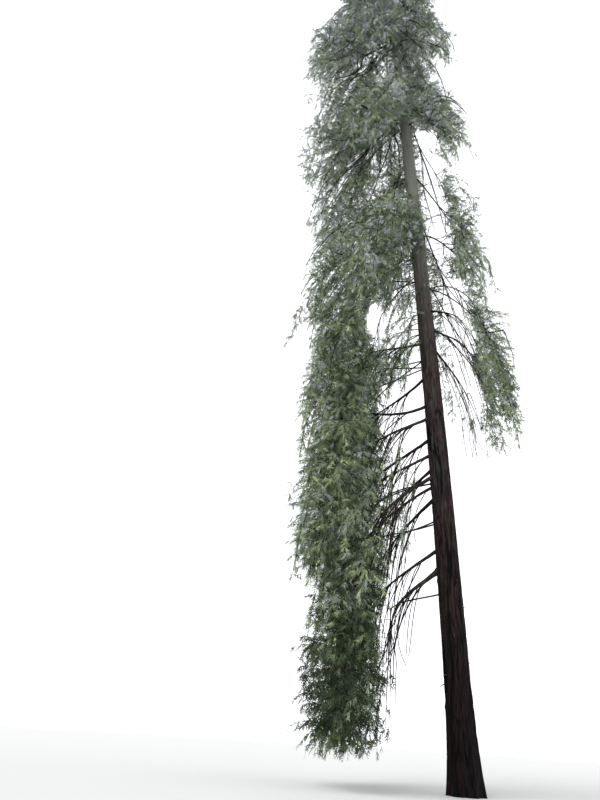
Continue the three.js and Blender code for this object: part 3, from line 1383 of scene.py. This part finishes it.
@dataclass
class Grower:
    """Grows limbs, branchlets and sprays from the trunk and the boughs.

    clearance keeps side limbs on the open side away from the trunk, as a share of their leader. A
    place within longest_twig of a limb is reached by one branchlet, and outward is how strongly
    branchlets lean away from the trunk. spray_sag is how far a spray's tip comes down beside its length.
    Outer limbs start and end at shares of the mass's line. Fringes hang from the lowest part of a mass,
    fringe_part of it. rng deals out the random choices of the mass, bough or row at hand, and reached
    holds the mass's branchlets.
    """

    form: TrunkForm
    boughs: list[Bough]
    openings: Openings
    box: tuple[Array, Array]
    open_side: float = 0.4
    clearance: float = 0.30
    side_girth: float = 0.55
    side_bare: float = 0.12
    fill_girth: float = 0.3
    fill_bare: float = 0.25
    root_levels: Range = (0.5, 39.0)
    highest_whorl: float = 39.7
    longest_twig: float = 0.85
    shortest_twig: float = 0.16
    outward: float = 0.38
    spray_sag: float = 0.16
    outer_widths: Range = (0.8, 1.0)
    outer_starts: Range = (0.0, 0.45)
    outer_ends: Range = (0.65, 0.95)
    outer_girths: Range = (0.015, 0.024)
    outer_tip: float = 0.007
    outer_gain: float = 1.5
    string_habit: StringHabit = StringHabit()
    dealer: TintDealer = TintDealer()
    fringes_per_area: float = 1.5
    fringe_part: float = 0.3
    fringe_spacing: float = 0.3
    fringe_lengths: Range = (0.5, 1.7)
    fringe_fall: float = 0.7
    fringe_sprays: float = 11.0
    fringe_seed: int = 550
    drapes: tuple[Drape, ...] = (
        Drape(count=15, levels=(13.0, 18.5), turns=(140.0, 245.0), reach=1.5, drop=3.6, seed=610),
        Drape(count=16, levels=(26.0, 35.0), turns=(190.0, 345.0), reach=0.9, drop=2.0, seed=611),
    )
    tufts: int = 60
    tuft_twigs: int = 3
    tuft_levels: Range = (12.5, 36.0)
    tuft_seed: int = 600
    limbs: Wood = field(default_factory=lambda: Wood(
        "limbs", BOUGH_FINISH, rings=16, sides=6, unevenness=0.10))
    shoots: Wood = field(default_factory=lambda: Wood(
        "small_limbs", BOUGH_FINISH, rings=9, sides=5, unevenness=0.10))
    strings: Wood = field(default_factory=lambda: Wood("hanging_strings", BOUGH_FINISH, rings=12, sides=4))
    branchlets: Wood = field(default_factory=lambda: Wood("branchlets", TWIG_FINISH, rings=3, sides=3))
    sprays: SprayBed = field(default_factory=lambda: SprayBed(
        pairs=6, needle_share=0.45, slenderness=0.240, shoot_share=0.026))
    fronds: SprayBed = field(default_factory=lambda: SprayBed(
        pairs=7, needle_share=0.29, slenderness=0.160, shoot_share=0.015))
    rng: np.random.Generator = field(default_factory=lambda: np.random.default_rng(0))
    reached: list[Array] = field(default_factory=list)

    def build(self, masses: list[Mass], nodes: list[str]) -> None:
        """Grows all the foliage and builds its pieces.

        Args:
            masses: The masses that it fills.
            nodes: The nodes that it stands for.
        """
        for seed, mass in enumerate(masses):
            self._grow(mass, seed)
        for seed, bough in enumerate(self.boughs, self.string_habit.seed):
            self._hang_strings(bough, seed)
        for seed, mass in enumerate(masses, self.fringe_seed):
            if mass.solid.name.startswith(FRINGED):
                self._fringe(mass, seed)
        for row in self.drapes:
            self._drape(row)
        self._sprout()
        for wood in (self.limbs, self.shoots, self.strings, self.branchlets):
            wood.build(nodes)
        build_needles([self.fronds, self.sprays], nodes)
        LOG.info("%d fronds and %d sprays in all", self.fronds.count(), self.sprays.count())

    def _grow(self, mass: Mass, seed: int) -> None:
        """Fills one mass of foliage.

        Args:
            mass: The mass.
            seed: What its random choices start from.
        """
        self.rng = np.random.default_rng(seed)
        rule = mass.habit.value
        before = self.sprays.count()
        count = max(rule.leaders + 2, round(rule.limbs * mass.solid.outline))
        limbs = []
        self.reached = []
        for number in range(count):
            limb = self._limb(mass, number, count, limbs)
            limbs.append(limb)
            self.limbs.add(limb.path, tapered(limb.girth))
            self._clothe(rule, limb.path, limb.bare, mass.solid)
        wood = np.concatenate([resampled(limb.path, LINE_POINTS) for limb in limbs])
        added = self._fill(mass, wood)
        self._outer_limbs(mass)
        sprays = self.sprays.count() - before
        LOG.info("%s: %d limbs and %d more, with %d sprays", mass.solid.name, count, added, sprays)

    def _outer_limbs(self, mass: Mass) -> None:
        """Runs bare, dark limbs out of a mass and down over its sprays.

        Args:
            mass: The mass.
        """
        rule = mass.habit.value
        for _ in range(round(rule.outer * mass.solid.outline)):
            offset = mass.offset(self.rng.uniform(0.0, FULL_TURN), self.rng.uniform(*self.outer_widths))
            share = np.linspace(self.rng.uniform(*self.outer_starts), self.rng.uniform(*self.outer_ends), 14)
            path = mass.solid.lifted(mass.led(share, offset, mass.spine(share[:1])[0]), rule.lift)
            if np.all(self._boxed(path)) and not np.any(self.openings.hold(self.rng, path)):
                stoutness = 1.0 + self.outer_gain * path[0, 2] / self.form.height
                girth = self.rng.uniform(*self.outer_girths)
                self.shoots.add(path, np.linspace(girth, self.outer_tip, 6) * stoutness)

    def _fill(self, mass: Mass, wood: Array) -> int:
        """Grows limbs and branchlets towards the parts of a mass that are still empty.

        Args:
            mass: The mass.
            wood: Points along its limbs.

        Returns:
            How many limbs were added.
        """
        rule = mass.habit.value
        added = 0
        spots = mass.solid.inner_spots(self.rng, rule.fill)
        known, reached = 0, np.empty((0, 3))
        for spot in spots[~self.openings.hold(self.rng, spots)]:
            if len(self.reached) > known:
                reached = np.concatenate([reached, *self.reached[known:]])
                known = len(self.reached)
            if np.abs(reached - spot).max(axis=1).min() < rule.fill:
                continue
            # Wood below the place counts as farther off than it is, as limbs hang rather than climb.
            away = np.linalg.norm(wood - spot, axis=1) + 1.2 * np.maximum(spot[2] - wood[:, 2], 0.0)
            root = wood[away.argmin()]
            span = np.linalg.norm(spot - root)
            if span < self.longest_twig:
                way = spot - root - DOWN * rule.sag * span
                self._twig(rule, root, unit(way), 1.1 * np.linalg.norm(way))
                continue
            run = (spot - root) * LEVEL
            controls = [root, root + 0.5 * run - DOWN * 0.06 * span, spot - DOWN * 0.35 * span, spot]
            path = cubic(np.stack(controls), 20)
            self.shoots.add(path, tapered(self.fill_girth * rule.girth))
            self._clothe(rule, path, self.fill_bare, mass.solid)
            wood = np.concatenate([wood, path])
            added += 1
        return added

    def _limb(self, mass: Mass, number: int, count: int, limbs: list[Limb]) -> Limb:
        """Grows one of a mass's own limbs.

        Args:
            mass: The mass that it fills.
            number: Which of the mass's limbs it is.
            count: How many limbs the mass has.
            limbs: The limbs before it, of which the first few are leaders.

        Returns:
            The limb.
        """
        rule = mass.habit.value
        if mass.habit is Habit.SPIRE:
            return self._whorl_limb(mass, number, count)
        tier = mass.habit is Habit.TIER
        openness = max(0.0, math.cos(mass.azimuth)) if tier else 0.0
        leading = 1 if openness > self.open_side else rule.leaders
        turn = GOLDEN_TURN * number + mass.azimuth
        fan = rule.fan * math.sqrt((number + 0.4) / count) * self.rng.uniform(0.9, 1.05)
        offset = mass.offset(turn, fan)
        last = self.rng.uniform(0.86, 1.0)
        if number >= leading:
            leader = limbs[number % leading]
            place = self.rng.uniform(0.75, 1.0) * leader.bare + self.rng.uniform(0.02, 0.22)
            place += self.clearance * openness
            root = leader.path[min(int(place * len(leader.path)), len(leader.path) - 1)]
            first = min(mass.nearest_share(root), 0.5) if tier else 0.0
            path = mass.led(np.linspace(first, last, 20), offset, root)
            return Limb(path, self.side_girth * rule.girth, self.side_bare)
        share = np.linspace(0.0, last, 20)
        if tier:
            level = mass.spine(share[:1])[0, 2] + 0.9 * math.sin(turn) + self.rng.uniform(-0.3, 0.3)
            root = self.form.on_bark(float(np.clip(level, *self.root_levels)),
                                     mass.azimuth + 0.5 * math.cos(turn))
            return Limb(mass.led(share, offset, root), rule.girth, rule.bare)
        if number > 0:
            return self._arch(mass, share, offset)
        bough = min(self.boughs, key=lambda one: mass.solid.gap(one.end))
        share = np.linspace(mass.nearest_share(bough.end), last, 20)
        return Limb(mass.led(share, 0.5 * offset, bough.end), 0.8 * float(bough.radii[-1]), rule.bare)

    def _arch(self, mass: Mass, share: Array, offset: Array) -> Limb:
        """Grows a limb that arches over from the trunk and then hangs through its mass.

        Args:
            mass: The mass.
            share: The places along the mass's line that it hangs past.
            offset: How far off that line it hangs.

        Returns:
            The limb, bare as far as it arches.
        """
        hanging = mass.spine(share) + offset * eased(share / 0.3 + 0.4)[:, None]
        level = hanging[0, 2] + self.rng.uniform(0.5, 1.8)
        root = self.form.on_bark(level, mass.azimuth + self.rng.uniform(-0.4, 0.4))
        run = (hanging[0] - root) * LEVEL
        fall = DOWN * 0.12 * np.linalg.norm(run)
        drop = unit(hanging[1] - hanging[0]) * (level - hanging[0, 2])
        arch = cubic(np.stack([root, root + 0.45 * run + fall, hanging[0] - 0.6 * drop, hanging[0]]), 14)
        path = np.concatenate([arch[:-1], hanging])
        return Limb(path, mass.habit.value.girth, path_length(arch) / path_length(path))

    def _whorl_limb(self, mass: Mass, number: int, count: int) -> Limb:
        """Grows a short limb of the top, which leaves the leader and bends down.

        Args:
            mass: The mass round the top.
            number: Which of the mass's limbs it is.
            count: How many limbs the mass has.

        Returns:
            The limb.
        """
        rule = mass.habit.value
        top, foot = mass.solid.points[:, 2].max(), mass.solid.points[:, 2].min()
        height = foot + (top - foot) * (number + 0.5) / count + 0.35
        turn = GOLDEN_TURN * number
        start = self.form.on_bark(min(height, self.highest_whorl), turn, 0.004)
        reach = 0.18 + 0.62 * (top - height + 0.5) / (top - foot) * self.rng.uniform(0.8, 1.1)
        run = bearing(turn) * reach
        controls = [start, start + run * 0.4 - DOWN * 0.06, start + run * 0.8,
                    start + run + DOWN * reach * 0.45]
        return Limb(cubic(np.stack(controls), 12), rule.girth, rule.bare)

    def _hang_strings(self, bough: Bough, seed: int) -> None:
        """Hangs strings from a bare bough, with a few sprays near their ends.

        Args:
            bough: The bough.
            seed: What its random choices start from.
        """
        habit = self.string_habit
        self.rng = np.random.default_rng(seed)
        heading = unit(np.gradient(bough.path, axis=0)) * [1.0, 1.0, 0.3]
        for number in range(round(habit.per_metre * path_length(bough.path))):
            kind = Hanging.TRAILING if number < habit.trailing else Hanging.THIN
            stout = kind is Hanging.TRAILING
            even = habit.trailing_start + habit.trailing_step * number
            place = even if stout else self.rng.uniform(*habit.places)
            spot = int(place * (len(bough.path) - 1))
            start = bough.path[spot]
            length = min(self.rng.uniform(*kind.value.roots) ** 2, habit.most_fall * start[2])
            length *= habit.longer_at_root - habit.shortening * place
            onward = heading[spot] * self.rng.uniform(*kind.value.swing)
            thin = habit.girth + habit.girth_gain * length
            girth = habit.trailing_girth * float(bough.radii[spot]) if stout else thin
            chances = habit.leafy_bare if start[2] > habit.leafy_above else habit.sparse_bare
            bare = self.rng.uniform(*chances)
            bare = 1.0 if start[2] < habit.bare_below else bare
            self._string(start, onward, length, girth, bare)

    def _string(self, start: Array, onward: Array, length: float, girth: float, bare: float,
                per_metre: float = 5.5) -> None:
        """Hangs one string.

        Args:
            start: Where it hangs from.
            onward: Its heading there.
            length: How far down it hangs.
            girth: Its radius at the top.
            bare: The share of it above its first sprays.
            per_metre: How many pairs of sprays there are for each metre of the rest.
        """
        habit = self.string_habit
        sway = np.array([*self.rng.normal(0.0, habit.sway, 2), 0.0])
        controls = [start, start + (0.30 * onward + 0.14 * DOWN + sway) * length,
                    start + (0.42 * onward + 0.52 * DOWN - sway) * length,
                    start + (0.50 * onward * LEVEL + DOWN + sway) * length]
        path = cubic(np.stack(controls), 20)
        if not self._boxed(path[-1:])[0]:
            return
        self.strings.add(path, np.linspace(girth, max(habit.thinning * girth, habit.thinnest), 6))
        if bare >= 1.0:
            return
        place = np.linspace(bare, 1.0, int(per_metre * length * (1.0 - bare)) + 2)
        feet = np.repeat(path[(place * (len(path) - 1)).astype(int)], 2, axis=0)
        ways = unit(self.rng.normal(0.0, habit.spray_spread, feet.shape) + DOWN * 0.9)
        flat = np.cross(ways, self.rng.normal(0.0, 1.0, feet.shape))
        size = self.rng.uniform(*habit.spray_lengths, len(feet))
        self._lay(self.sprays, feet, ways, flat, size, np.repeat(place, 2), self.spray_sag)

    def _fringe(self, mass: Mass, seed: int) -> None:
        """Hangs leafy strings from the lower part of a mass.

        Args:
            mass: The mass.
            seed: What their random choices start from.
        """
        self.rng = np.random.default_rng(seed)
        spots = mass.solid.inner_spots(self.rng, self.fringe_spacing)
        low = spots[spots[:, 2] < np.quantile(spots[:, 2], self.fringe_part)]
        for spot in low[:round(self.fringes_per_area * mass.solid.outline)]:
            length = min(self.rng.uniform(*self.fringe_lengths), self.fringe_fall * spot[2])
            onward = 0.3 * self.form.outward(spot)
            self._string(spot, onward, length, self.string_habit.girth, 0.0, self.fringe_sprays)

    def _drape(self, row: Drape) -> None:
        """Hangs a row of clothed limbs close to the trunk.

        Args:
            row: The row.
        """
        self.rng = np.random.default_rng(row.seed)
        for level in self.rng.uniform(*row.levels, row.count):
            way = math.radians(self.rng.uniform(*row.turns))
            out = bearing(way) * row.reach * self.rng.uniform(0.35, 1.0)
            fall = DOWN * row.drop * self.rng.uniform(0.4, 1.0)
            root = self.form.on_bark(level, way)
            controls = [root, root + 0.6 * out, root + out + 0.25 * fall, root + 1.15 * out + fall]
            path = cubic(np.stack(controls), 16)
            self.shoots.add(path, np.linspace(self.rng.uniform(0.010, 0.022), 0.004, 6))
            self._clothe(Habit.CURTAIN.value, path, self.side_bare)

    def _sprout(self) -> None:
        """Sets tufts of short branchlets on the trunk's own bark."""
        self.rng = np.random.default_rng(self.tuft_seed)
        low, high = self.tuft_levels
        for level in low + (high - low) * self.rng.uniform(0.0, 1.0, self.tufts) ** 0.8:
            angle = self.rng.uniform(0.0, FULL_TURN)
            for _ in range(self.tuft_twigs):
                way = angle + self.rng.uniform(-0.7, 0.7)
                start = self.form.on_bark(level + self.rng.uniform(-0.15, 0.15), way, 0.01)
                out = bearing(way, self.rng.uniform(-0.7, 0.1))
                length = self.rng.uniform(0.25, 0.75)
                if self.openings.hold(self.rng, (start + out * length * 0.5)[None])[0]:
                    continue
                self._twig(Habit.TIER.value, start, unit(out), length)

    def _clothe(self, rule: GrowthRule, path: Array, bare: float, solid: Solid | None = None) -> None:
        """Sets branchlets along a limb.

        Args:
            rule: How they grow.
            path: The limb.
            bare: The share of it that carries none.
            solid: What they stay inside, if anything.
        """
        count = max(3, int(path_length(path) * (1.0 - bare) / rule.spacing))
        places = np.linspace(bare, 1.0, count) + self.rng.uniform(-0.4, 0.4, count) / count
        line = resampled(path, LINE_POINTS)
        heading = unit(np.gradient(line, axis=0))
        for number, place in enumerate(np.clip(places, 0.02, 1.0)):
            spot = int(round(place * (LINE_POINTS - 1)))
            along = (place - bare) / max(1.0 - bare, SMALL)
            self._branchlet(rule, line[spot], heading[spot], number, along, solid)

    def _branchlet(self, rule: GrowthRule, start: Array, course: Array, number: int, along: float,
                   solid: Solid | None) -> None:
        """Grows one branchlet and its sprays.

        Args:
            rule: How it grows.
            start: Where it leaves its limb.
            course: The limb's direction there.
            number: Which branchlet of the limb it is, as they alternate from side to side.
            along: How far along the clothed part of the limb it is.
            solid: What it stays inside, if anything.
        """
        level = sideways(course) * (1.0 if number % 2 else -1.0)
        roll = self.rng.uniform(-rule.roll, rule.roll)
        side = level * math.cos(roll) + unit(np.cross(level, course)) * math.sin(roll)
        tilt = rule.forward * self.rng.uniform(0.75, 1.2)
        heading = course * math.cos(tilt) + side * math.sin(tilt) + DOWN * rule.droop
        heading = unit(heading + self.form.outward(start) * self.outward)
        most = rule.reach * (1.0 - 0.35 * along) * self.rng.uniform(0.65, 1.15)
        room = solid.room(start, heading, most) if solid else 0.8 * most
        length = min(most, 0.95 * room + 0.12) if room > 0.0 else 0.4 * most
        middle = start + heading * length * 0.5
        if length >= self.shortest_twig and not self.openings.hold(self.rng, middle[None])[0]:
            self._twig(rule, start, heading, length)

    def _twig(self, rule: GrowthRule, start: Array, heading: Array, length: float) -> None:
        """Adds one branchlet: a frond of needles along it, and sprays on both its sides.

        Args:
            rule: How it grows.
            start: Where it starts.
            heading: Its direction there.
            length: Its length.
        """
        steps = np.linspace(0.0, 1.0, 5)
        share = steps[:, None]
        path = start + heading * length * share + DOWN * rule.sag * length * share**2
        if not self._boxed(path[-1:])[0]:
            return
        self.reached.append(path)
        self.branchlets.add(path, np.linspace(0.006 + 0.006 * length, 0.004, 5))
        across = np.cross(heading, self.rng.normal(0.0, 0.6 * rule.plane, 3) - DOWN)
        self._lay(self.fronds, path[:1], heading[None], across[None], np.array([length]),
                  np.zeros(1), rule.sag)
        count = max(2, int(length / rule.spray_spacing))
        place = np.linspace(0.16, 1.0, count)
        base = read_along(place, steps, path)
        course = unit(read_along(place, steps, np.gradient(path, axis=0)))
        sign = np.where(np.arange(count) % 2 == 0, 1.0, -1.0)[:, None]
        # The last spray runs on at the tip, and the others lean out to the two sides in turn.
        lean = np.where(place > 0.97, 0.1, 0.62)[:, None] * self.rng.uniform(0.7, 1.15, (count, 1))
        ways = course * np.cos(lean) + sign * sideways(course) * np.sin(lean) + DOWN * rule.hang
        ways = unit(ways + self.rng.normal(0.0, 0.16, (count, 3)))
        size = rule.spray * (1.0 - 0.3 * place) * self.rng.uniform(0.7, 1.2, count)
        flat = np.cross(ways, self.rng.normal(0.0, rule.plane, (count, 3)) - DOWN)
        self._lay(self.sprays, base, ways, flat, size, place, self.spray_sag)

    def _lay(self, bed: SprayBed, base: Array, ways: Array, flat: Array,
             size: Array, place: Array, sag: float) -> None:
        """Lays sprays in a bed, but for those that hang in a gap of the crown.

        Args:
            bed: The bed.
            base: Their feet.
            ways: Their headings.
            flat: Their level sides, of any length.
            size: Their lengths.
            place: How far out along its branchlet each one is.
            sag: How far their tips come down, beside their length.
        """
        kept = ~self.openings.hold(self.rng, base + ways * size[:, None] * 0.5)
        kept &= self._boxed(base + ways * size[:, None])
        tint = self.dealer.deal(self.rng, base, place, self.form.height)
        bed.add(base[kept], ways[kept], unit(flat[kept]), size[kept], np.full(kept.sum(), sag), tint[kept])

    def _boxed(self, points: Array) -> Array:
        """Which points lie in the tree's box."""
        return np.all((points > self.box[0]) & (points < self.box[1]), axis=1)


@dataclass
class BareBoughs:
    """The boughs between the trunk and their foliage."""

    boughs: list[Bough]
    rings: int = 34
    sides: int = 12
    unevenness: float = 0.12

    def build(self) -> None:
        """Builds the boughs as one piece."""
        wood = Wood("bare_boughs", BOUGH_FINISH, self.rings, self.sides, self.unevenness)
        for bough in self.boughs:
            wood.add(bough.path, bough.radii)
        wood.build([bough.solid.name for bough in self.boughs])


@dataclass
class DeadWood:
    """Broken stubs of lost limbs that stand out of the trunk.

    profile is a stub's radius at even steps along it, beside its own measure.
    """

    form: TrunkForm
    count: int = 38
    levels: Range = (1.6, 20.0)
    slopes: Range = (-0.5, 0.25)
    lengths: Range = (0.05, 0.2)
    girths: Range = (0.010, 0.020)
    bending: float = 0.4
    profile: tuple[float, ...] = (1.7, 1.0, 0.8, 0.25)
    rings: int = 6
    sides: int = 6
    unevenness: float = 0.2
    seed: int = 31

    def build(self) -> None:
        """Builds the stubs as one piece."""
        rng = np.random.default_rng(self.seed)
        wood = Wood("dead_stubs", BOUGH_FINISH, self.rings, self.sides, self.unevenness)
        for level in rng.uniform(*self.levels, self.count):
            angle = rng.uniform(0.0, FULL_TURN)
            out = bearing(angle, rng.uniform(*self.slopes))
            length = rng.uniform(*self.lengths)
            root = self.form.on_bark(level, angle, 0.04)
            bend = DOWN * length * rng.uniform(0.0, self.bending)
            path = np.stack([root, root + out * length * 0.5, root + out * length + bend])
            wood.add(path, rng.uniform(*self.girths) * np.array(self.profile))
        wood.build(["trunk"])


@dataclass
class PhotoCamera:
    """The camera where the photograph was taken, in pixels of its 600 by 800 frame.

    zenith is where upright lines meet, and foot is where the trunk meets the ground.
    """

    distance: float = VIEW_DISTANCE
    eye: float = EYE_HEIGHT
    focal: float = 580.0
    centre: Pixel = (300.0, 400.0)
    zenith: Pixel = (362.0, -600.0)
    foot: Pixel = (465.6, 786.0)
    frame_height: float = 800.0
    sensor: float = 36.0
    farthest: float = 300.0

    def _ray(self, spot: Pixel) -> Array:
        """The direction of a pixel as right, up and forward shares."""
        across = (spot[0] - self.centre[0]) / self.focal
        return unit(np.array([across, (self.centre[1] - spot[1]) / self.focal, 1.0]))

    def build(self) -> None:
        """Makes the camera and hands it to the scene."""
        upward = self._ray(self.zenith)
        towards = self._ray(self.foot)
        ahead = unit(towards - (towards @ upward) * upward)
        right = np.cross(upward, ahead)
        right = right if right[0] > 0.0 else -right
        world = np.stack([right, ahead, upward])
        matrix = Matrix.Identity(4)
        for row in range(3):
            matrix[row][0], matrix[row][1], matrix[row][2] = world[row] * [1.0, 1.0, -1.0]
        matrix.translation = (0.0, -self.distance, self.eye)
        data = bpy.data.cameras.new("photo_camera")
        data.sensor_width = self.sensor
        data.lens = self.sensor * self.focal / self.frame_height
        data.clip_end = self.farthest
        camera = bpy.data.objects.new("photo_camera", data)
        camera.matrix_world = matrix
        bpy.context.scene.collection.objects.link(camera)
        bpy.context.scene.camera = camera


@dataclass
class Studio:
    """A plain pale floor under an even, overcast light. The lamp's angles are in degrees."""

    floor_radius: float = 90.0
    floor_sides: int = 96
    floor_colour: Colour = (0.46, 0.46, 0.45)
    floor_roughness: float = 0.9
    sky: Colour = (0.96, 0.97, 1.0)
    sky_strength: float = 1.45
    sun_strength: float = 2.3
    sun_width: float = 50.0
    sun_turn: Triple = (38.0, 0.0, -42.0)

    def build(self) -> None:
        """Builds the floor, the sky and one soft lamp."""
        self._floor()
        self._sky()
        lamp = bpy.data.lights.new("soft_sun", "SUN")
        lamp.energy = self.sun_strength
        lamp.angle = math.radians(self.sun_width)
        sun = bpy.data.objects.new("soft_sun", lamp)
        sun.rotation_euler = tuple(math.radians(angle) for angle in self.sun_turn)
        bpy.context.scene.collection.objects.link(sun)
        bpy.context.scene.view_settings.view_transform = "Standard"

    def _floor(self) -> None:
        """Builds the floor."""
        turn = np.linspace(0.0, FULL_TURN, self.floor_sides, endpoint=False)
        rim = np.stack([np.cos(turn), np.sin(turn), np.zeros_like(turn)], axis=1) * self.floor_radius
        material, graph = new_material("studio_floor")
        graph.surface({"Base Color": (*self.floor_colour, 1.0), "Roughness": self.floor_roughness})
        floor = joined_mesh("studio_floor", rim, np.arange(self.floor_sides)[None], material, False)
        floor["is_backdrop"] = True

    def _sky(self) -> None:
        """Builds the sky, which lights the tree evenly."""
        world = bpy.data.worlds.new("overcast")
        world.use_nodes = True
        bpy.context.scene.world = world
        graph = Graph(world.node_tree)
        sockets = {"Color": (*self.sky, 1.0), "Strength": self.sky_strength}
        light = graph.node("ShaderNodeBackground", None, sockets)
        graph.node("ShaderNodeOutputWorld", None, {"Surface": light})


def box_around(bounds: tuple[Vector, Vector]) -> tuple[Array, Array]:
    """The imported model's box, a little wider on each side but not below the ground."""
    low, high = np.array(bounds[0]) - BOX_MARGIN, np.array(bounds[1]) + BOX_MARGIN
    return np.maximum(low, [-math.inf, -math.inf, 0.0]), high


def main() -> None:
    """Builds the tree from the ground up, then the studio."""
    logging.basicConfig(level=logging.INFO, format="%(name)s: %(message)s")
    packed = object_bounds()
    names = sorted(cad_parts)
    foliage = [name for name in names if name.startswith("foliage_")]
    form = TrunkForm()
    TrunkBark(form).build()
    DeadWood(form).build()
    boughs = [Bough(Solid(name), form) for name in names if name.startswith("bough_")]
    BareBoughs(boughs).build()
    masses = [Mass(Solid(name), form, habit_of(name)) for name in foliage]
    Grower(form, boughs, Openings(form), box_around(packed)).build(masses, foliage)
    PhotoCamera().build()
    Studio().build()


if __name__ == "__main__":
    main()
